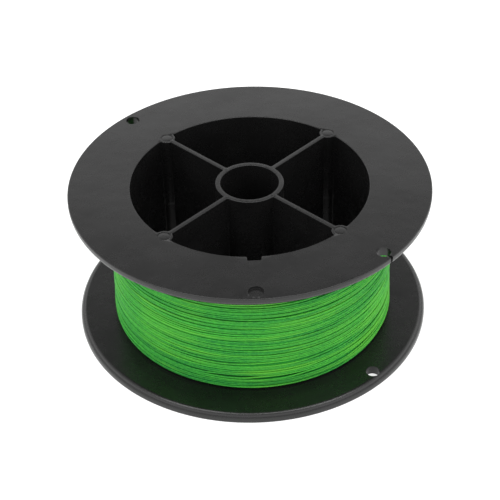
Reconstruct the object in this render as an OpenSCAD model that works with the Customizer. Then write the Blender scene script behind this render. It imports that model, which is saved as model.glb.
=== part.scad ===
// Bulk fishing line spool: two flanged halves joined back to back, with line wound between the flanges.
// Origin: centre of the lower flange's outer face, on which the spool stands. +Z runs along the axis.

/* [Spool] */
// Outer diameter of both flanges
flange_d = 130; // [125:1:150]
// Overall width, from one outer flange face to the other
spool_w = 56; // [40:1:80]
// Thickness of each flange
flange_t = 3.5; // [3.4:0.1:5]
// Rounding of the rim on the outer face
outer_edge_r = 0.4; // [0.4:0.1:1]
// Rounding of the rim on the face that the line touches
inner_edge_r = 2.2; // [1:0.1:2.7]

/* [Barrel and hub] */
// Diameter of the open middle of each flange, which is also the inside of the barrel
opening_d = 85.6; // [80:0.2:88]
// Wall thickness of the barrel
barrel_wall = 3.4; // [3.4:0.1:4.4]
// Diameter of the bore that takes the spindle
hub_bore_d = 21; // [12:0.5:25]
// Wall thickness of the hub tube
hub_wall = 1.8; // [1.5:0.1:3]

/* [Ribs and joining pins] */
// Number of ribs between the hub and the barrel
rib_count = 4; // [3:1:6]
// Thickness of each rib
rib_t = 1.7; // [1:0.1:3]
// Direction of the first rib, in degrees
first_rib_a = 45.6; // [0:0.1:90]
// Diameter of the column at the outer end of each rib
column_d = 6.2; // [5.6:0.1:6.2]
// Diameter of each joining pin and of its bore
pin_d = 4.5; // [3:0.1:4.6]
// Depth of the pin's end below the flange face
pin_recess = 0.2; // [0.2:0.1:1]

/* [Rim holes and notch] */
// Diameter of the two line holes near the rim
line_hole_d = 5; // [3:0.1:5.6]
// Diameter of the round recess in the outer face, beside the line holes
recess_d = 5.5; // [3:0.1:5.6]
// Depth of that recess
recess_z = 0.8; // [0.4:0.1:1.5]
// Distance of the line holes and the recess from the axis
line_hole_r = 61; // [59:0.1:61]
// Width of the slit from one upper line hole out to the rim
slit_w = 0.7; // [0.4:0.1:1.2]
// Width of the notch in the edge of the opening
notch_w = 4.8; // [3:0.1:6]
// Depth of that notch away from the axis
notch_r = 2; // [1:0.1:2.4]
// Depth of that notch along the axis
notch_z = 6; // [4:0.5:10]

/* [Line] */
// Diameter of the wound line beside the flanges
winding_end_d = 104; // [96:0.2:116]
// Diameter of the wound line at mid width
winding_mid_d = 102.6; // [96:0.2:116]
// Width of the tape that holds the first turn
tape_w = 12; // [8:1:20]
// Thickness of that tape
tape_t = 0.2; // [0.1:0.05:0.4]
// Angle that the tape covers
tape_a = 36; // [20:2:60]

/* [Hidden] */
$fn = 96;
flange_r = flange_d / 2;
opening_r = opening_d / 2;
barrel_r = opening_r + barrel_wall;
hub_bore_r = hub_bore_d / 2;
hub_r = hub_bore_r + hub_wall;
// Wall left outside each column, and the distance of the columns from the axis that this gives
column_skin = 0.5;
column_ring_r = barrel_r - column_d / 2 - column_skin;
half_w = spool_w / 2;
// Bores, slits and notches are cut this much past the faces that they open through
over = 1;
// Steps in one rounded corner of the flange's outline, and along the side of the winding
corner_steps = 6;
winding_steps = 8;
pin_chamfer = 0.3;
// Directions of the line holes and of the recess. The first upper hole has the slit
upper_hole_a = [-43.8, 135.8];
lower_hole_a = [-46.5, 133.5];
upper_recess_a = -89.1;
lower_recess_a = -0.6;
slit_turn = 0.5;
upper_notch_a = -89;
lower_notch_a = -0.6;
tape_start_a = 200;
shell_colour = [0.09, 0.09, 0.09];
line_colour = [0.2, 0.6, 0.2];
tape_colour = [0.85, 0.82, 0.7];

function rib_a(i) = first_rib_a + 360 / rib_count * i;

// Points of a circular arc in the outline of a revolved part
function arc(cx, cy, r, from, to) = [
    for (i = [0 : corner_steps])
        let (a = from + (to - from) * i / corner_steps)
        [cx + r * cos(a), cy + r * sin(a)]
];

// Half of the winding's thickness at height z, fullest beside the flanges
function winding_r(z) =
    let (u = (z - half_w) / (half_w - flange_t))
    (winding_mid_d + (winding_end_d - winding_mid_d) * u * u) / 2;

// Turns a shape made for the lower half over into the upper half
module flip_up() {
    translate([0, 0, spool_w]) mirror([0, 0, 1]) children();
}

module ring(r_out, r_in, z0, z1) {
    rotate_extrude() translate([r_in, z0]) square([r_out - r_in, z1 - z0]);
}

module at_ribs(radius) {
    for (i = [0 : rib_count - 1]) rotate([0, 0, rib_a(i)]) translate([radius, 0, 0]) children();
}

// Flat ring with a lightly rounded outer edge and a softer inner edge that can't cut the line
module flange_ring() {
    rotate_extrude() polygon(concat(
        [[opening_r, 0]],
        arc(flange_r - outer_edge_r, outer_edge_r, outer_edge_r, -90, 0),
        arc(flange_r - inner_edge_r, flange_t - inner_edge_r, inner_edge_r, 0, 90),
        [[opening_r, flange_t]]
    ));
}

// Round cut at the line holes' distance from the axis, from the outer face to the depth given
module rim_cut(a, d, depth) {
    rotate([0, 0, a]) translate([line_hole_r, 0, -over]) cylinder(d = d, h = depth + over);
}

// Narrow cut from a line hole to the rim, where the end of the line is clipped in
module rim_slit(a) {
    rotate([0, 0, a]) translate([line_hole_r, -slit_w / 2, -over])
        cube([flange_r - line_hole_r + over, slit_w, flange_t + 2 * over]);
}

module opening_notch(a) {
    rotate([0, 0, a]) translate([opening_r - over, -notch_w / 2, -over])
        cube([notch_r + over, notch_w, notch_z + over]);
}

module half_flange(hole_angles, recess_a, notch_a) {
    difference() {
        union() {
            flange_ring();
            at_ribs(column_ring_r) cylinder(d = column_d, h = flange_t);
        }
        at_ribs(column_ring_r) translate([0, 0, -over]) cylinder(d = pin_d, h = flange_t + 2 * over);
        for (a = hole_angles) rim_cut(a, line_hole_d, flange_t + over);
        rim_cut(recess_a, recess_d, recess_z);
        opening_notch(notch_a);
    }
}

// Cross-section of the barrel: its wall, the columns and the pin bores in them
module barrel_section() {
    difference() {
        circle(r = barrel_r);
        difference() {
            circle(r = opening_r);
            at_ribs(column_ring_r) circle(d = column_d);
        }
        at_ribs(column_ring_r) circle(d = pin_d);
    }
}

module half_barrel(notch_a) {
    difference() {
        translate([0, 0, flange_t]) linear_extrude(half_w - flange_t) barrel_section();
        opening_notch(notch_a);
    }
}

// Flat web from the hub to the column, with both ends hollowed to fit them
module half_rib(i) {
    rotate([0, 0, rib_a(i)]) difference() {
        translate([hub_bore_r, -rib_t / 2, 0]) cube([column_ring_r - hub_bore_r, rib_t, half_w]);
        translate([0, 0, -over]) cylinder(r = hub_r, h = half_w + 2 * over);
        translate([column_ring_r, 0, -over]) cylinder(d = column_d, h = half_w + 2 * over);
    }
}

module tape_patch() {
    translate([0, 0, half_w - tape_w / 2]) rotate([0, 0, tape_start_a])
        rotate_extrude(angle = tape_a) translate([barrel_r, 0]) square([tape_t, tape_w]);
}

module lower_flange() {
    color(shell_colour) half_flange(lower_hole_a, lower_recess_a, lower_notch_a);
}

module upper_flange() {
    color(shell_colour) flip_up() difference() {
        half_flange(upper_hole_a, upper_recess_a, upper_notch_a);
        rim_slit(upper_hole_a[0] - slit_turn);
    }
}

module lower_barrel() {
    color(shell_colour) half_barrel(lower_notch_a);
}

module upper_barrel() {
    color(shell_colour) flip_up() half_barrel(upper_notch_a);
}

module lower_hub() {
    color(shell_colour) ring(hub_r, hub_bore_r, 0, half_w);
}

module upper_hub() {
    color(shell_colour) flip_up() ring(hub_r, hub_bore_r, 0, half_w);
}

module lower_rib(i) {
    color(shell_colour) half_rib(i);
}

module upper_rib(i) {
    color(shell_colour) flip_up() half_rib(i);
}

// Round pin pressed through the columns of both halves, with a chamfer at each end
module joining_pin(i) {
    pin_l = spool_w - 2 * pin_recess;
    pin_r = pin_d / 2;
    color(shell_colour) rotate([0, 0, rib_a(i)]) translate([column_ring_r, 0, pin_recess])
        rotate_extrude() polygon([
            [0, 0],
            [pin_r - pin_chamfer, 0],
            [pin_r, pin_chamfer],
            [pin_r, pin_l - pin_chamfer],
            [pin_r - pin_chamfer, pin_l],
            [0, pin_l]
        ]);
}

// Short strip stuck over the joint between the halves, with the start of the line under it
module arbor_tape() {
    color(tape_colour) tape_patch();
}

// All turns of the line as one solid
module line_winding() {
    z_step = (spool_w - 2 * flange_t) / winding_steps;
    color(line_colour) difference() {
        rotate_extrude() polygon(concat(
            [[barrel_r, spool_w - flange_t], [barrel_r, flange_t]],
            [for (i = [0 : winding_steps]) let (z = flange_t + i * z_step) [winding_r(z), z]]
        ));
        tape_patch();
    }
}

lower_flange();
upper_flange();
lower_barrel();
upper_barrel();
lower_hub();
upper_hub();
lower_rib(0);  // lower_rib_1
lower_rib(1);  // lower_rib_2
lower_rib(2);  // lower_rib_3
lower_rib(3);  // lower_rib_4
upper_rib(0);  // upper_rib_1
upper_rib(1);  // upper_rib_2
upper_rib(2);  // upper_rib_3
upper_rib(3);  // upper_rib_4
joining_pin(0);  // joining_pin_1
joining_pin(1);  // joining_pin_2
joining_pin(2);  // joining_pin_3
joining_pin(3);  // joining_pin_4
arbor_tape();
line_winding();
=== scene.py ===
import math

import bmesh
import bpy
import numpy as np
from mathutils import Matrix, Vector
from mathutils.geometry import delaunay_2d_cdt


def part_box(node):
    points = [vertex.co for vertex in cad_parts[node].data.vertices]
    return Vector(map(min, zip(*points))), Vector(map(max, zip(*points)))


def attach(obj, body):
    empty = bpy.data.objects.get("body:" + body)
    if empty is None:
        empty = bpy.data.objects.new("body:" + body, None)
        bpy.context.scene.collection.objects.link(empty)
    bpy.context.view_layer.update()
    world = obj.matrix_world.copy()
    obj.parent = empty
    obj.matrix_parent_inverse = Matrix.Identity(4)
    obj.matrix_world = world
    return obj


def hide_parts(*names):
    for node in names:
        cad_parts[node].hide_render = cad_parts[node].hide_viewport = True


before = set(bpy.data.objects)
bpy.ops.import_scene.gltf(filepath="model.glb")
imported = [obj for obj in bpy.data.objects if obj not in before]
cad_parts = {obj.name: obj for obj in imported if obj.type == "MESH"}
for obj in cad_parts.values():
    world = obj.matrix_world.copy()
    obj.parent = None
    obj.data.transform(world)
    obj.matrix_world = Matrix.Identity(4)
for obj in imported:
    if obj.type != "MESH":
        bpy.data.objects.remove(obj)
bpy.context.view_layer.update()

# A bulk fishing line spool: two moulded black halves, four joining pins, a strip of tape and the line.
# Constants are in millimetres and degrees, unless a comment says otherwise. Meshes are built in
# millimetres and made into metres last.
MM = 0.001
TURN = 2 * math.pi


def box_mm(node):
    """Low and high corner of a CAD node's box."""
    low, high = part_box(node)
    return Vector(low) / MM, Vector(high) / MM


# ---- sizes that the frame gives
FLANGE_R = box_mm("lower_flange")[1].x
FLANGE_T = box_mm("lower_flange")[1].z
SPOOL_W = box_mm("upper_flange")[1].z
HALF_W = SPOOL_W / 2
BARREL_R = box_mm("lower_barrel")[1].x
HUB_R = box_mm("lower_hub")[1].x
PINS = ["joining_pin_%d" % (i + 1) for i in range(4)]
FIRST_PIN_LOW, FIRST_PIN_HIGH = box_mm(PINS[0])
FIRST_PIN = (FIRST_PIN_LOW + FIRST_PIN_HIGH) / 2
PIN_R = (FIRST_PIN_HIGH.x - FIRST_PIN_LOW.x) / 2
COLUMN_RING_R = math.hypot(FIRST_PIN.x, FIRST_PIN.y)
FIRST_RIB_A = math.degrees(math.atan2(FIRST_PIN.y, FIRST_PIN.x))
WINDING_R = box_mm("line_winding")[1].x

# ---- sizes of the moulded halves
OPENING_R = 42.8
HUB_BORE_R = 10.5
COLUMN_R = 3.1
RIB_T = 1.7
OUTER_EDGE_R = 0.4
INNER_EDGE_R = 2.2
LINE_HOLE_R = 2.5
RECESS_R = 2.75
RECESS_Z = 0.8
RIM_HOLE_RING_R = 61
NOTCH_W = 4.8
NOTCH_R = 2
NOTCH_Z = 6
SLIT_W = 0.7
SLIT_MOUTH_W = 1.3
SLIT_MOUTH_L = 1.2
# Cutters reach this much past the faces that they open through
OVER = 1
# Roundings where an opening meets a face: cavities and hub bore, line holes and pin bores, recess, seam
EDGE = 0.25
HOLE_EDGE = 0.12
RECESS_EDGE = 0.08
SEAM_EDGE = 0.06
# Fillets in the outline of a cavity: where ribs meet hub and columns, at the notch's mouth and bottom
CORNER = 0.5
NOTCH_MOUTH_FILLET = 0.6
NOTCH_BOTTOM_FILLET = 0.4
# The small fillet round the recess's floor, as (distance from the wall, height above the floor)
RECESS_FILLET = ((0, 0.2), (0.08, 0.02), (0.25, 0))
# Numbers of steps in each kind of curve
EDGE_STEPS = 3
FILLET_STEPS = 4
OUTER_EDGE_STEPS = 6
INNER_EDGE_STEPS = 10
COLUMN_STEPS = 6
HUB_STEPS = 14
OPENING_STEPS = 48
BESIDE_NOTCH_STEPS = 22
ROUND_STEPS = 192
BARREL_STEPS = 96
HOLE_STEPS = 32
# Faces that meet at less than this angle are shaded smoothly
SMOOTH_ANGLE = 38
# Directions of what differs between the halves. Only the upper flange has a slit
UPPER = {"holes": (-43.8, 135.8), "slit": -44.3, "recess": -89.1, "notch": -89}
LOWER = {"holes": (-46.5, 133.5), "slit": None, "recess": -0.6, "notch": -0.6}

# ---- sizes of the pins' ends
PIN_ROUNDING_R = 0.3
PIN_ROUNDING_STEPS = 4
# Height that the rounding of the end stands above the CAD pin's end
PIN_RISE = 0.06
# Points of the slightly domed face, as (radius, depth into the pin from the CAD pin's end)
PIN_DOME = [(0.5, -0.1), (PIN_R - PIN_ROUNDING_R - 0.25, -0.08)]

# ---- sizes of the line
# How much less the winding's radius is at mid width than beside the flanges
MID_DIP = 0.7
# Half of a drawn turn's thickness away from the axis and along it
LINE_RADIAL_R = 0.35
LINE_AXIAL_R = 0.33
FLANGE_GAP = 0.02
# Small ups and downs of the turns along the line: how many waves, their slowness, size and limit
LIFT_WAVES = 159
LIFT_SLOWNESS = 37.0
LIFT_SIZE = 0.024
LIFT_LIMIT = 0.18
# Grooves between bundles of turns, in units of one turn: crowding to one end, width as a gamma draw,
# softness, and how far they wander round the spool
GROOVE_CROWDING = 0.7
GROOVE_SHAPE = 1.5
GROOVE_SCALE = 0.22
GROOVE_SOFTNESS = 0.12
GROOVE_WAVES = 3
GROOVE_DRIFT = 0.9
# How open a groove is on the average, how much that varies round the spool, and the most it can be
OPEN_MEAN = 0.55
OPEN_CHANGE = 0.7
OPEN_MOST = 1.4
# The closed core below the drawn turns: its distance from the barrel and its depth under the surface
CORE_GAP = 0.25
CORE_DEPTH = 1.35
CORE_STEPS = 24
CORE_ROUND_STEPS = 128


# ---- outlines in the plane of a flange, each a closed loop of 2D points
# Functions take radians, except for the directions from UPPER and LOWER, which they take in degrees
def polar(radius, angle):
    return Vector((radius * math.cos(angle), radius * math.sin(angle)))


def arc(centre, radius, start, end, steps):
    return [centre + polar(radius, start + (end - start) * i / steps) for i in range(steps + 1)]


def circle(radius, steps, centre=(0, 0)):
    return [Vector(centre) + polar(radius, TURN * i / steps) for i in range(steps)]


def turned(points, angle):
    return [p @ Matrix.Rotation(-angle, 2) for p in points]


def fillet(before, corner, after, radius):
    """Points of an arc that rounds the corner between two straight sides."""
    to_before = (before - corner).normalized()
    to_after = (after - corner).normalized()
    half = to_before.angle(to_after) / 2
    centre = corner + (to_before + to_after).normalized() * radius / math.sin(half)
    first = corner + to_before * radius / math.tan(half) - centre
    last = corner + to_after * radius / math.tan(half) - centre
    sweep = first.angle_signed(last)
    turns = [Matrix.Rotation(sweep * i / FILLET_STEPS, 2) for i in range(FILLET_STEPS + 1)]
    return [centre + first @ turn for turn in turns]


def filleted(points, corners):
    """The loop with a fillet at each of the corners, a dict of point index and radius."""
    loop = []
    for i, point in enumerate(points):
        if i in corners:
            loop += fillet(points[i - 1], point, points[(i + 1) % len(points)], corners[i])
        else:
            loop.append(point)
    return loop


def grown(points, amount):
    """The loop of an opening with its edge moved outward, for rounding where it meets a face."""
    loop = []
    for i, point in enumerate(points):
        side_in = (point - points[i - 1]).normalized()
        side_out = (points[(i + 1) % len(points)] - point).normalized()
        normal_in = Vector((side_in.y, -side_in.x))
        normal_out = Vector((side_out.y, -side_out.x))
        loop.append(point + (normal_in + normal_out) * amount / (1 + normal_in.dot(normal_out)))
    return loop


def notch_points(angle):
    """The notch in the edge of the opening, from one mouth corner to the other."""
    half = NOTCH_W / 2
    mouth_x = math.sqrt(OPENING_R ** 2 - half ** 2)
    bottom_x = OPENING_R + NOTCH_R
    corners = [(mouth_x, -half), (bottom_x, -half), (bottom_x, half), (mouth_x, half)]
    return turned([Vector(c) for c in corners], angle)


def cavity_outline(index, notch_angle):
    """One of the four openings between the hub, two ribs and the barrel, with a notch if it has one."""
    axis = Vector((0, 0))
    start = math.radians(FIRST_RIB_A + 90 * index)
    end = start + TURN / 4
    side = RIB_T / 2
    at_column = math.asin(side / COLUMN_R)
    column_x = (OPENING_R ** 2 - COLUMN_R ** 2 + COLUMN_RING_R ** 2) / (2 * COLUMN_RING_R)
    column_y = math.sqrt(OPENING_R ** 2 - column_x ** 2)
    at_opening = math.atan2(column_y, column_x)
    column_end = math.atan2(column_y, column_x - COLUMN_RING_R)
    at_hub = math.asin(side / HUB_R)
    column = arc(Vector((COLUMN_RING_R, 0)), COLUMN_R, math.pi - at_column, column_end, COLUMN_STEPS)
    mirrored = [Vector((p.x, -p.y)) for p in reversed(column)]
    hub = arc(axis, HUB_R, end - at_hub, start + at_hub, HUB_STEPS)
    middle = math.radians(notch_angle)
    while middle < start:
        middle += TURN
    if middle < end:
        mouth = math.asin(NOTCH_W / 2 / OPENING_R)
        notch = notch_points(middle)
        first = arc(axis, OPENING_R, start + at_opening, middle - mouth, BESIDE_NOTCH_STEPS)[:-1]
        second = arc(axis, OPENING_R, middle + mouth, end - at_opening, BESIDE_NOTCH_STEPS)[1:]
        outer = first + notch + second
    else:
        outer = arc(axis, OPENING_R, start + at_opening, end - at_opening, OPENING_STEPS)
    loop = turned(column, start) + outer[1:-1] + turned(mirrored, end) + hub
    second_column = len(column) + len(outer) - 2
    ends = (0, len(column) - 1, second_column, second_column + len(mirrored) - 1)
    ends += (len(loop) - len(hub), len(loop) - 1)
    corners = dict.fromkeys(ends, CORNER)
    if middle < end:
        mouth_at = len(column) + len(first) - 1
        corners.update(dict.fromkeys((mouth_at, mouth_at + 3), NOTCH_MOUTH_FILLET))
        corners.update(dict.fromkeys((mouth_at + 1, mouth_at + 2), NOTCH_BOTTOM_FILLET))
    return filleted(loop, corners)


def without_notch(points):
    """The same loop below the notch: its points are drawn back to the edge of the opening."""
    return [p if p.length <= OPENING_R else p.normalized() * OPENING_R for p in points]


# ---- building closed meshes from loops
def put_loop(bm, points, z):
    return [bm.verts.new((p.x, p.y, z)) for p in points]


def join_loops(bm, lower, upper):
    for i in range(len(lower)):
        j = (i + 1) % len(lower)
        bm.faces.new((lower[i], lower[j], upper[j], upper[i]))


def loft(bm, levels):
    """Walls through a row of (loop, height) levels. Returns the first and the last ring."""
    rings = [put_loop(bm, points, z) for points, z in levels]
    for lower, upper in zip(rings, rings[1:]):
        join_loops(bm, lower, upper)
    return rings[0], rings[-1]


def between_loops(point, starts, ends):
    """True if a line from the point crosses the loops' edges an odd number of times."""
    above = (starts[:, 1] > point.y) != (ends[:, 1] > point.y)
    share = (point.y - starts[above, 1]) / (ends[above, 1] - starts[above, 1])
    crossings = starts[above, 0] + share * (ends[above, 0] - starts[above, 0])
    return np.count_nonzero(crossings > point.x) % 2 == 1


def cap(bm, loops):
    """Flat face inside the first ring of vertices and outside the others."""
    verts = []
    edges = []
    for loop in loops:
        base = len(verts)
        edges += [(base + i, base + (i + 1) % len(loop)) for i in range(len(loop))]
        verts += loop
    points = [v.co.xy for v in verts]
    starts = np.array([points[i] for i, _ in edges])
    ends = np.array([points[j] for _, j in edges])
    made, _, triangles, sources, _, _ = delaunay_2d_cdt(points, edges, [], 0, 1e-6)
    for triangle in triangles:
        middle = sum((made[i] for i in triangle), Vector((0, 0))) / 3
        if between_loops(middle, starts, ends):
            bm.faces.new([verts[sources[i][0]] for i in triangle])


def rounding(points, edge, z, into):
    """Levels that round an opening's edge. They go from the face at height z in the direction into."""
    levels = []
    for i in range(EDGE_STEPS + 1):
        angle = TURN / 4 * i / EDGE_STEPS
        spread = edge * (1 - math.sin(angle))
        levels.append((grown(points, spread), z + into * edge * (1 - math.cos(angle))))
    return levels


def rim_levels():
    """The flange's edge from the outer face round to the face that the line touches."""
    levels = []
    for i in range(OUTER_EDGE_STEPS + 1):
        angle = -TURN / 4 + TURN / 4 * i / OUTER_EDGE_STEPS
        radius = FLANGE_R - OUTER_EDGE_R * (1 - math.cos(angle))
        levels.append((circle(radius, ROUND_STEPS), OUTER_EDGE_R * (1 + math.sin(angle))))
    for i in range(INNER_EDGE_STEPS + 1):
        angle = TURN / 4 * i / INNER_EDGE_STEPS
        radius = FLANGE_R - INNER_EDGE_R * (1 - math.cos(angle))
        height = FLANGE_T - INNER_EDGE_R * (1 - math.sin(angle))
        levels.append((circle(radius, ROUND_STEPS), height))
    return levels


def cavity_levels(index, notch_angle):
    """A cavity from the face to the seam. The notch in its wall ends part of the way."""
    outline = cavity_outline(index, notch_angle)
    plain = without_notch(outline)
    notched = [(outline, NOTCH_Z), (plain, NOTCH_Z)]
    seam = [(plain, HALF_W - SEAM_EDGE), (grown(plain, SEAM_EDGE), HALF_W)]
    return rounding(outline, EDGE, 0, 1) + notched + seam


def bore_levels(points, edge):
    """A bore through half of the spool, rounded at the face and lightly broken at the seam."""
    return rounding(points, edge, 0, 1) + [
        (points, HALF_W - SEAM_EDGE),
        (grown(points, SEAM_EDGE), HALF_W),
    ]


def recess_levels(angle):
    """The shallow round recess: rounded edge, short wall and a small fillet at its floor."""
    centre = polar(RIM_HOLE_RING_R, math.radians(angle))
    levels = rounding(circle(RECESS_R, HOLE_STEPS, centre), RECESS_EDGE, 0, 1)
    for inset, above in RECESS_FILLET:
        levels.append((circle(RECESS_R - inset, HOLE_STEPS, centre), RECESS_Z - above))
    return levels


def half_shell_bmesh(layout):
    """One moulded half with its outer face at z = 0 and its seam at half of the spool's width."""
    bm = bmesh.new()
    face_holes = []
    seam_holes = []
    for i in range(4):
        first, last = loft(bm, cavity_levels(i, layout["notch"]))
        face_holes.append(first)
        seam_holes.append(last)
    bores = [(circle(HUB_BORE_R, BARREL_STEPS), EDGE)]
    for i in range(4):
        centre = polar(COLUMN_RING_R, math.radians(FIRST_RIB_A + 90 * i))
        bores.append((circle(PIN_R, HOLE_STEPS, centre), HOLE_EDGE))
    for points, edge in bores:
        first, last = loft(bm, bore_levels(points, edge))
        face_holes.append(first)
        seam_holes.append(last)
    first, recess_floor = loft(bm, recess_levels(layout["recess"]))
    face_holes.append(first)
    bm.faces.new(recess_floor)
    rim_first, rim_last = loft(bm, rim_levels())
    wall_first, wall_last = loft(bm, [
        (circle(BARREL_R, BARREL_STEPS), FLANGE_T),
        (circle(BARREL_R, BARREL_STEPS), HALF_W - SEAM_EDGE),
        (circle(BARREL_R - SEAM_EDGE, BARREL_STEPS), HALF_W),
    ])
    cap(bm, [rim_first] + face_holes)
    cap(bm, [rim_last, wall_first])
    cap(bm, [wall_last] + seam_holes)
    bmesh.ops.remove_doubles(bm, verts=bm.verts, dist=0.001)
    return bm


def closed_solid(levels):
    """A closed mesh through the levels, with a face on each end."""
    bm = bmesh.new()
    low, high = loft(bm, levels)
    bm.faces.new(low)
    bm.faces.new(high)
    bmesh.ops.recalc_face_normals(bm, faces=bm.faces)
    return bm


def hole_cutter(angle):
    """What a line hole takes out of the flange, with the rounding of its edge at the outer face."""
    points = circle(LINE_HOLE_R, HOLE_STEPS, polar(RIM_HOLE_RING_R, math.radians(angle)))
    outside = [(grown(points, HOLE_EDGE), -OVER)]
    return closed_solid(outside + rounding(points, HOLE_EDGE, 0, 1) + [(points, FLANGE_T + OVER)])


def slit_cutter(angle):
    """A thin wedge from the line hole out through the rim, wider at its mouth."""
    outline = [
        (RIM_HOLE_RING_R, SLIT_W / 2),
        (RIM_HOLE_RING_R, -SLIT_W / 2),
        (FLANGE_R - SLIT_MOUTH_L, -SLIT_W / 2),
        (FLANGE_R + OVER, -SLIT_MOUTH_W / 2),
        (FLANGE_R + OVER, SLIT_MOUTH_W / 2),
        (FLANGE_R - SLIT_MOUTH_L, SLIT_W / 2),
    ]
    points = turned([Vector(p) for p in outline], math.radians(angle))
    return closed_solid([(points, -OVER), (points, FLANGE_T + OVER)])


def cut(target, cutter_bm):
    """Cuts the shape out of the object's mesh for good."""
    mesh = bpy.data.meshes.new("cutter")
    cutter_bm.to_mesh(mesh)
    cutter_bm.free()
    cutter = bpy.data.objects.new("cutter", mesh)
    bpy.context.scene.collection.objects.link(cutter)
    modifier = target.modifiers.new("cut", "BOOLEAN")
    modifier.operation = "DIFFERENCE"
    modifier.solver = "EXACT"
    modifier.object = cutter
    depsgraph = bpy.context.evaluated_depsgraph_get()
    result = bpy.data.meshes.new_from_object(target.evaluated_get(depsgraph))
    target.modifiers.clear()
    old = target.data
    target.data = result
    bpy.data.meshes.remove(old)
    bpy.data.objects.remove(cutter)
    bpy.data.meshes.remove(mesh)


# ---- pieces
def new_piece(name, mesh, material, nodes):
    """A piece of the visual model that stands for the CAD nodes named."""
    mesh.materials.append(material)
    piece = bpy.data.objects.new(name, mesh)
    bpy.context.scene.collection.objects.link(piece)
    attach(piece, "root")
    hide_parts(*nodes)
    return piece


def to_mesh(bm, name):
    mesh = bpy.data.meshes.new(name)
    bm.to_mesh(mesh)
    bm.free()
    return mesh


def smooth(piece):
    """Smooth shading, with hard edges where faces meet steeply and flat faces kept flat."""
    mesh = piece.data
    mesh.shade_smooth()
    mesh.set_sharp_from_angle(angle=math.radians(SMOOTH_ANGLE))
    modifier = piece.modifiers.new("face_weighted_normals", "WEIGHTED_NORMAL")
    modifier.keep_sharp = True


def make_half(name, layout, material, nodes, upper):
    """A moulded half in its place, with its line holes, and its slit if it has one, cut out."""
    bm = half_shell_bmesh(layout)
    cutters = [hole_cutter(angle) for angle in layout["holes"]]
    if layout["slit"] is not None:
        cutters.append(slit_cutter(layout["slit"]))
    for part in [bm] + cutters:
        if upper:
            part.transform(Matrix.Translation((0, 0, SPOOL_W)) @ Matrix.Scale(-1, 4, (0, 0, 1)))
        part.normal_update()
        bmesh.ops.recalc_face_normals(part, faces=part.faces)
    piece = new_piece(name, to_mesh(bm, name), material, nodes)
    for cutter in cutters:
        cut(piece, cutter)
    piece.data.transform(Matrix.Scale(MM, 4))
    smooth(piece)


def make_pin(node, material):
    """A pressed pin: straight shank, rounded ends and a slightly domed face."""
    low, high = box_mm(node)
    centre = ((low.x + high.x) / 2, (low.y + high.y) / 2)
    end = list(PIN_DOME)
    for i in range(PIN_ROUNDING_STEPS + 1):
        angle = TURN / 4 * i / PIN_ROUNDING_STEPS
        radius = PIN_R - PIN_ROUNDING_R * (1 - math.sin(angle))
        end.append((radius, PIN_ROUNDING_R * (1 - math.cos(angle)) - PIN_RISE))
    profile = [(r, low.z + z) for r, z in end] + [(r, high.z - z) for r, z in reversed(end)]
    bm = closed_solid([(circle(r, HOLE_STEPS, centre), z) for r, z in profile])
    bm.transform(Matrix.Scale(MM, 4))
    piece = new_piece("pin_%s" % node[-1], to_mesh(bm, node + "_mesh"), material, [node])
    smooth(piece)


# ---- the line
def winding_r(z):
    """Outer radius of the winding, fullest beside the flanges."""
    u = (z - HALF_W) / (HALF_W - FLANGE_T)
    return WINDING_R - MID_DIP * (1 - u * u)


def wander(rng, theta, waves, size):
    """A smooth random curve round the spool that closes on itself."""
    value = np.zeros_like(theta)
    for k in range(1, waves + 1):
        value += rng.normal() * np.cos(k * theta) / k + rng.normal() * np.sin(k * theta) / k
    return value * size


def turn_path(rng, turns, samples, grooves, low, high):
    """Angles and heights of a helix. Grooves between bundles of turns fork and merge round the spool."""
    at = np.arange(int(turns * samples) + 1) / samples
    theta = TURN * at
    height = at.copy()
    total = np.full_like(at, turns)
    for _ in range(grooves):
        start = turns * rng.uniform(0, 1) ** GROOVE_CROWDING
        place = start + wander(rng, theta, GROOVE_WAVES, GROOVE_DRIFT)
        opened = np.clip(OPEN_MEAN + wander(rng, theta, GROOVE_WAVES, OPEN_CHANGE), 0, OPEN_MOST)
        width = rng.gamma(GROOVE_SHAPE, GROOVE_SCALE) * opened
        below, here, above = [
            width / (1 + np.exp((place - x) / GROOVE_SOFTNESS))
            for x in (0, at, turns)
        ]
        height += here - below
        total += above - below
    return theta, low + (high - low) * height / total


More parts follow.
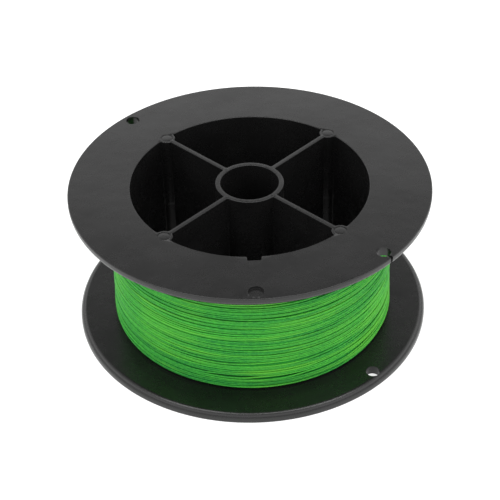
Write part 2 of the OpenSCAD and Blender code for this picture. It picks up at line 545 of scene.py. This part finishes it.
def strand_mesh(name, theta, radius, height, sides):
    """One closed tube along the helix, with its length in mm and its girth as its UV map."""
    left_handed = theta[-1] < theta[0]
    count = len(theta)
    phi = TURN * np.arange(sides) / sides
    reach = radius[:, None] + LINE_RADIAL_R * np.cos(phi)[None, :]
    co = np.empty((count, sides, 3), dtype=np.float32)
    co[:, :, 0] = reach * np.cos(theta)[:, None]
    co[:, :, 1] = reach * np.sin(theta)[:, None]
    co[:, :, 2] = height[:, None] + LINE_AXIAL_R * np.sin(phi)[None, :]
    ring = np.arange(sides)
    after = (ring + 1) % sides
    base = (np.arange(count - 1) * sides)[:, None]
    quads = np.stack([base + ring, base + sides + ring, base + sides + after, base + after], axis=2)
    if left_handed:
        quads = quads[:, :, ::-1]
    faces = quads.reshape(-1, 4).tolist()
    ends = [list(range(sides)), list(range((count - 1) * sides, count * sides))]
    ends[1 if left_handed else 0].reverse()
    mesh = bpy.data.meshes.new(name)
    mesh.from_pydata((co.reshape(-1, 3) * MM).tolist(), [], faces + ends)
    length = np.concatenate([[0], np.cumsum(np.abs(np.diff(theta)) * radius[1:])])
    along = np.repeat(length[:-1], sides)
    beyond = np.repeat(length[1:], sides)
    girth = np.tile(ring / sides, count - 1)
    girth_after = girth + 1 / sides
    corners = [(along, girth), (beyond, girth), (beyond, girth_after), (along, girth_after)]
    if left_handed:
        corners.reverse()
    uv = np.stack([np.stack(c, axis=1) for c in corners], axis=1).reshape(-1, 2)
    layer = mesh.uv_layers.new(name="along_line")
    values = np.zeros((len(mesh.loops), 2))
    values[: len(uv)] = uv
    layer.data.foreach_set("uv", values.ravel())
    mesh.shade_smooth()
    return mesh


def make_turns(name, material, seed, turns, samples, sides, depth, grooves, hand):
    """One layer of turns at the depth below the surface. samples is per turn, sides per section."""
    rng = np.random.default_rng(seed)
    margin = LINE_AXIAL_R + FLANGE_GAP
    low = FLANGE_T + margin
    high = SPOOL_W - FLANGE_T - margin
    theta, height = turn_path(rng, turns, samples, grooves, low, high)
    lift = np.zeros_like(theta)
    for k in range(1, LIFT_WAVES + 1):
        lift += rng.normal() * np.sin(theta * k / LIFT_SLOWNESS + rng.uniform(0, TURN)) * LIFT_SIZE
    lift = np.clip(lift, -LIFT_LIMIT, LIFT_LIMIT)
    radius = winding_r(height) - LINE_RADIAL_R - LIFT_LIMIT - depth + lift
    mesh = strand_mesh(name, theta * hand, radius, height, sides)
    new_piece(name, mesh, material, ["line_winding"])


def make_core(material):
    """The turns further in, which only show as a floor between the outer ones, dark with painted shade.
    """
    bm = bmesh.new()
    low = FLANGE_T + FLANGE_GAP
    high = SPOOL_W - FLANGE_T - FLANGE_GAP
    inside = circle(BARREL_R + CORE_GAP, CORE_ROUND_STEPS)
    levels = [(inside, low)]
    for i in range(CORE_STEPS + 1):
        z = low + (high - low) * i / CORE_STEPS
        levels.append((circle(winding_r(z) - CORE_DEPTH, CORE_ROUND_STEPS), z))
    levels.append((inside, high))
    first, last = loft(bm, levels)
    join_loops(bm, last, first)
    bmesh.ops.recalc_face_normals(bm, faces=bm.faces)
    bm.transform(Matrix.Scale(MM, 4))
    smooth(new_piece("line_core", to_mesh(bm, "line_core"), material, ["line_winding"]))


# ---- materials. Texture scales are per metre, or per mm where they go by the line's UV map
PLASTIC_ROUGHNESS = 0.27
# Linear colours of the braid: dark, light and worn yellow
LINE_GREENS = ((0.0015, 0.18, 0.028, 1), (0.067, 0.5, 0.04, 1), (0.14, 0.54, 0.036, 1))
# Colours of the same braid for the deeper turns: darker as painted shade, greener as painted bounce
# light from the turns round them
SHADED_GREENS = ((0.003, 0.17, 0.024, 1), (0.01, 0.36, 0.04, 1), (0.02, 0.36, 0.03, 1))
PLAIT_LENGTH = 1.5
WEAVE_AROUND = 0.8
WEAVE_ACROSS = 0.8
FLOOR_GLOW = 0.65
# The floor glows outside this ring, in metres, so that the open middle of the spool stays dark
GLOW_STARTS = 0.05
GLOW_FULL = 0.056


class Nodes:
    """Short names for building a material's nodes."""

    def __init__(self, name):
        self.material = bpy.data.materials.new(name)
        self.material.use_nodes = True
        self.tree = self.material.node_tree
        self.shader = self.tree.nodes["Principled BSDF"]

    def add(self, kind, inputs=None, **settings):
        node = self.tree.nodes.new(kind)
        for key, value in settings.items():
            setattr(node, key, value)
        for key, value in (inputs or {}).items():
            self.feed(node.inputs[key], value)
        return node

    def feed(self, socket, value):
        if isinstance(value, bpy.types.NodeSocket):
            self.tree.links.new(value, socket)
        else:
            socket.default_value = value

    def math(self, operation, *values):
        node = self.add("ShaderNodeMath", operation=operation)
        for socket, value in zip(node.inputs, values):
            self.feed(socket, value)
        return node.outputs[0]

    def noise(self, vector, scale, detail, roughness=0.5):
        inputs = {"Vector": vector, "Scale": scale, "Detail": detail, "Roughness": roughness}
        return self.add("ShaderNodeTexNoise", inputs).outputs["Fac"]

    def ramp(self, value, low, high, to_low=0.0, to_high=1.0):
        inputs = {"Value": value, "From Min": low, "From Max": high, "To Min": to_low, "To Max": to_high}
        node = self.add("ShaderNodeMapRange", inputs, interpolation_type="SMOOTHSTEP")
        return node.outputs["Result"]

    def blend(self, share, first, second):
        node = self.add("ShaderNodeMix", data_type="RGBA")
        self.feed(node.inputs["Factor"], share)
        self.feed(node.inputs["A"], first)
        self.feed(node.inputs["B"], second)
        return node.outputs["Result"]

    def bump(self, height, distance, strength=1.0, normal=None):
        inputs = {"Height": height, "Distance": distance, "Strength": strength}
        node = self.add("ShaderNodeBump", inputs)
        if normal is not None:
            self.feed(node.inputs["Normal"], normal)
        return node.outputs["Normal"]

    def place(self):
        return self.add("ShaderNodeTexCoord").outputs["Object"]

    def along_line(self, along, waves, across):
        """A place for a noise that runs along the line."""
        inputs = {"X": self.math("MULTIPLY", along, waves), "Y": across}
        return self.add("ShaderNodeCombineXYZ", inputs).outputs[0]


def black_plastic(name, base):
    """Satin black moulding: faint flow marks, a fine spark-eroded grain and slightly uneven gloss."""
    n = Nodes(name)
    place = n.place()
    flow = n.noise(place, 45.0, 3.0, 0.55)
    grain = n.noise(place, 2600.0, 2.0)
    cloud = n.noise(place, 130.0, 4.0, 0.6)
    dark = (base * 0.8, base * 0.79, base * 0.79, 1)
    light = (base * 1.25, base * 1.24, base * 1.24, 1)
    n.feed(n.shader.inputs["Base Color"], n.blend(n.ramp(flow, 0.3, 0.7), dark, light))
    uneven = n.math("ADD", n.math("MULTIPLY", cloud, 0.1), n.math("MULTIPLY", grain, 0.04))
    n.feed(n.shader.inputs["Roughness"], n.math("ADD", uneven, PLASTIC_ROUGHNESS - 0.07))
    soft = n.bump(flow, 0.00012)
    n.feed(n.shader.inputs["Normal"], n.bump(grain, 0.000004, 0.6, soft))
    return n.material


def braided_line(name, dark, light, yellow):
    """Green braid: crossing plaits along the line, tone that changes along it and paler worn patches."""
    n = Nodes(name)
    uv = n.add("ShaderNodeUVMap", uv_map="along_line").outputs["UV"]
    parts = n.add("ShaderNodeSeparateXYZ", {"Vector": uv}).outputs
    along, girth = parts[0], parts[1]
    advance = n.math("MULTIPLY", along, TURN / PLAIT_LENGTH)
    lean = n.math("MULTIPLY", girth, TURN * 2)
    plait_a = n.math("SINE", n.math("ADD", advance, lean))
    plait_b = n.math("SINE", n.math("SUBTRACT", advance, lean))
    plait = n.math("MAXIMUM", plait_a, plait_b)
    tone = n.ramp(n.noise(n.along_line(along, 0.012, 0.0), 1.0, 3.0), 0.36, 0.64)
    fleck = n.noise(n.along_line(along, 0.7, girth), 0.9, 3.0, 0.65)
    streak = n.noise(n.along_line(along, 0.015, 7.0), 1.0, 3.0)
    patch = n.noise(n.place(), 30.0, 2.0)
    worn = n.math("ADD", streak, n.math("MULTIPLY", patch, 0.5))
    shade = n.math("MULTIPLY", tone, 0.4)
    shade = n.math("ADD", n.math("MULTIPLY", n.ramp(plait, -0.6, 1.0), 0.1), shade)
    shade = n.math("ADD", shade, n.math("MULTIPLY", n.ramp(fleck, 0.36, 0.64), 0.42))
    green = n.blend(shade, dark, light)
    n.feed(n.shader.inputs["Base Color"], n.blend(n.ramp(worn, 0.7, 0.95, 0, 0.6), green, yellow))
    n.feed(n.shader.inputs["Roughness"], n.math("ADD", n.math("MULTIPLY", fleck, 0.25), 0.45))
    n.feed(n.shader.inputs["Normal"], n.bump(plait, 0.00003, 0.25))
    n.shader.inputs["Specular IOR Level"].default_value = 0.3
    return n.material


def inner_line(name):
    """Turns deep in the winding: fine ridges round the spool, in a dark green that is painted shade."""
    n = Nodes(name)
    place = n.place()
    stretched = n.add("ShaderNodeMapping", {"Vector": place, "Scale": (60.0, 60.0, 1500.0)}).outputs[0]
    ridge = n.noise(stretched, 1.0, 3.0, 0.6)
    colour = n.blend(n.ramp(ridge, 0.3, 0.7), (0.004, 0.05, 0.012, 1), (0.012, 0.13, 0.025, 1))
    n.feed(n.shader.inputs["Base Color"], colour)
    n.feed(n.shader.inputs["Roughness"], n.ramp(ridge, 0.3, 0.7, 0.5, 0.7))
    n.feed(n.shader.inputs["Normal"], n.bump(ridge, 0.0002))
    return n.material


def woven_tape(name):
    """Cream cloth tape: fine plain weave with a little soiling."""
    n = Nodes(name)
    place = n.place()
    parts = n.add("ShaderNodeSeparateXYZ", {"Vector": place}).outputs
    around = n.math("MULTIPLY", n.math("ARCTAN2", parts[1], parts[0]), BARREL_R * TURN / WEAVE_AROUND)
    across = n.math("MULTIPLY", parts[2], TURN / (WEAVE_ACROSS * MM))
    weave = n.math("MULTIPLY", n.math("SINE", around), n.math("SINE", across))
    soil = n.noise(place, 160.0, 4.0, 0.6)
    cloth = n.blend(n.ramp(weave, -1, 1), (0.55, 0.5, 0.36, 1), (0.72, 0.66, 0.48, 1))
    soiled = n.blend(n.ramp(soil, 0.4, 0.8, 0, 0.5), cloth, (0.42, 0.38, 0.27, 1))
    n.feed(n.shader.inputs["Base Color"], soiled)
    n.feed(n.shader.inputs["Roughness"], n.ramp(soil, 0.3, 0.7, 0.7, 0.9))
    n.feed(n.shader.inputs["Normal"], n.bump(weave, 0.00004))
    return n.material


def pale_floor(name):
    """A white table that glows softly, so that shadows on it stay faint."""
    n = Nodes(name)
    place = n.place()
    drift = n.noise(place, 3.0, 2.0)
    n.feed(n.shader.inputs["Base Color"], n.blend(drift, (0.54, 0.54, 0.54, 1), (0.58, 0.58, 0.58, 1)))
    n.shader.inputs["Roughness"].default_value = 0.9
    n.shader.inputs["Specular IOR Level"].default_value = 0.0
    n.shader.inputs["Emission Color"].default_value = (1, 1, 1, 1)
    from_axis = n.add("ShaderNodeVectorMath", {0: place}, operation="LENGTH").outputs["Value"]
    glow = n.ramp(from_axis, GLOW_STARTS, GLOW_FULL, 0.0, FLOOR_GLOW)
    n.feed(n.shader.inputs["Emission Strength"], glow)
    return n.material


# ---- light and camera. Places are in metres
FLOOR_HALF_SIDE = 4
# Keeps the floor and the spool's base from lying in one plane
FLOOR_DROP = 0.00003
CAMERA_LENS = 101.1
CAMERA_PLACE = (-0.0015, -0.4092, 0.3475)
CAMERA_YAW = 0.143
CAMERA_PITCH = 38.238
CAMERA_ROLL = -1.487
# Radiance of the surroundings behind, at the sides and in front, each as (height, radiance) from the
# horizon, at 0, to straight above, at 1
SKY_BACK = ((0.0, 0.6), (0.3, 0.7), (0.44, 1.6), (0.53, 1.6), (0.59, 0.3), (0.62, 0.08), (1.0, 0.08))
SKY_SIDE = ((0.0, 0.4), (0.3, 1.1), (0.5, 2.2), (0.66, 1.8), (1.0, 0.2))
SKY_FRONT = ((0.0, 0.45), (0.3, 0.9), (0.5, 1.6), (0.8, 1.6), (0.9, 0.6), (1.0, 0.2))
# Ranges of Y over which front turns into back, and of X, either way, over which they turn into side
FRONT_TO_BACK = (-0.6, 0.1)
MIDDLE_TO_SIDE = (0.15, 0.85)


def make_camera():
    """The photo's view: place and angles come from a fit of the rims, the opening and the hub."""
    data = bpy.data.cameras.new("camera")
    data.lens = CAMERA_LENS
    data.sensor_width = 36
    data.clip_start = 0.01
    camera = bpy.data.objects.new("camera", data)
    bpy.context.scene.collection.objects.link(camera)
    heading = Matrix.Rotation(math.radians(-CAMERA_YAW), 4, "Z")
    tilt = Matrix.Rotation(math.radians(90 - CAMERA_PITCH), 4, "X")
    roll = Matrix.Rotation(math.radians(CAMERA_ROLL), 4, "Z")
    camera.matrix_world = Matrix.Translation(CAMERA_PLACE) @ heading @ tilt @ roll
    bpy.context.scene.camera = camera


def make_floor():
    bm = bmesh.new()
    bmesh.ops.create_grid(bm, x_segments=8, y_segments=8, size=FLOOR_HALF_SIDE)
    bm.transform(Matrix.Translation((0, 0, -FLOOR_DROP)))
    mesh = to_mesh(bm, "floor")
    mesh.materials.append(pale_floor("pale_floor"))
    floor = bpy.data.objects.new("floor", mesh)
    bpy.context.scene.collection.objects.link(floor)


def sky_ramp(tree, height, levels, brightest):
    """Grey that follows the levels with the height, as a share of the brightest level."""
    ramp = tree.nodes.new("ShaderNodeValToRGB")
    while len(ramp.color_ramp.elements) < len(levels):
        ramp.color_ramp.elements.new(0.5)
    for element, (position, level) in zip(ramp.color_ramp.elements, levels):
        element.position = position
        element.color = (level / brightest,) * 3 + (1,)
    tree.links.new(height, ramp.inputs["Fac"])
    return ramp.outputs["Color"]


def share_between(tree, value, low, high):
    """Rises from 0 to 1 as the value goes from low to high."""
    node = tree.nodes.new("ShaderNodeMapRange")
    node.inputs["From Min"].default_value = low
    node.inputs["From Max"].default_value = high
    tree.links.new(value, node.inputs["Value"])
    return node.outputs["Result"]


def make_world():
    """White surroundings, brightest at middle height and dark overhead, most of all behind."""
    world = bpy.data.worlds.new("studio")
    world.use_nodes = True
    bpy.context.scene.world = world
    tree = world.node_tree
    direction = tree.nodes.new("ShaderNodeTexCoord").outputs["Generated"]
    parts = tree.nodes.new("ShaderNodeSeparateXYZ")
    tree.links.new(direction, parts.inputs[0])
    aside = tree.nodes.new("ShaderNodeMath")
    aside.operation = "ABSOLUTE"
    tree.links.new(parts.outputs["X"], aside.inputs[0])
    to_back = share_between(tree, parts.outputs["Y"], *FRONT_TO_BACK)
    to_side = share_between(tree, aside.outputs[0], *MIDDLE_TO_SIDE)
    skies = (SKY_FRONT, SKY_BACK, SKY_SIDE)
    brightest = max(level for sky in skies for _, level in sky)
    front, back, side = [sky_ramp(tree, parts.outputs["Z"], sky, brightest) for sky in skies]
    colour = front
    for share, ramp in ((to_back, back), (to_side, side)):
        mix = tree.nodes.new("ShaderNodeMix")
        mix.data_type = "RGBA"
        tree.links.new(share, mix.inputs["Factor"])
        tree.links.new(colour, mix.inputs["A"])
        tree.links.new(ramp, mix.inputs["B"])
        colour = mix.outputs["Result"]
    background = tree.nodes["Background"]
    tree.links.new(colour, background.inputs["Color"])
    background.inputs["Strength"].default_value = brightest


def make_softbox(name, place, width, depth, power):
    """A soft rectangular light that points at the origin."""
    data = bpy.data.lights.new(name, "AREA")
    data.shape = "RECTANGLE"
    data.size = width
    data.size_y = depth
    data.energy = power
    lamp = bpy.data.objects.new(name, data)
    bpy.context.scene.collection.objects.link(lamp)
    lamp.location = place
    lamp.rotation_euler = Vector(place).to_track_quat("Z", "Y").to_euler()


def main():
    plastic = black_plastic("black_plastic", base=0.0072)
    pin_plastic = black_plastic("pin_plastic", base=0.0095)
    line = braided_line("green_braid", *LINE_GREENS)
    # A copy of the braid in painted shade for the deeper turns
    shaded_line = braided_line("green_braid_shaded", *SHADED_GREENS)
    deep_line = inner_line("deep_line")
    for side, layout in (("lower", LOWER), ("upper", UPPER)):
        nodes = [side + "_flange", side + "_barrel", side + "_hub"]
        nodes += ["%s_rib_%d" % (side, i + 1) for i in range(4)]
        make_half(side + "_half", layout, plastic, nodes, side == "upper")
    for node in PINS:
        make_pin(node, pin_plastic)
    make_turns("line_outer_turns", line, seed=11, turns=56, samples=120, sides=8,
               depth=0.0, grooves=44, hand=1)
    make_turns("line_inner_turns", shaded_line, seed=5, turns=58, samples=96, sides=6,
               depth=0.6, grooves=20, hand=-1)
    make_core(deep_line)
    # The hidden tape keeps its CAD shape
    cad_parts["arbor_tape"].data.materials[0] = woven_tape("woven_tape")
    make_floor()
    make_world()
    make_softbox("overhead_softbox", (0, -0.12, 1.0), width=1.3, depth=0.3, power=6.1)
    make_camera()
    bpy.context.scene.view_settings.view_transform = "Standard"


main()
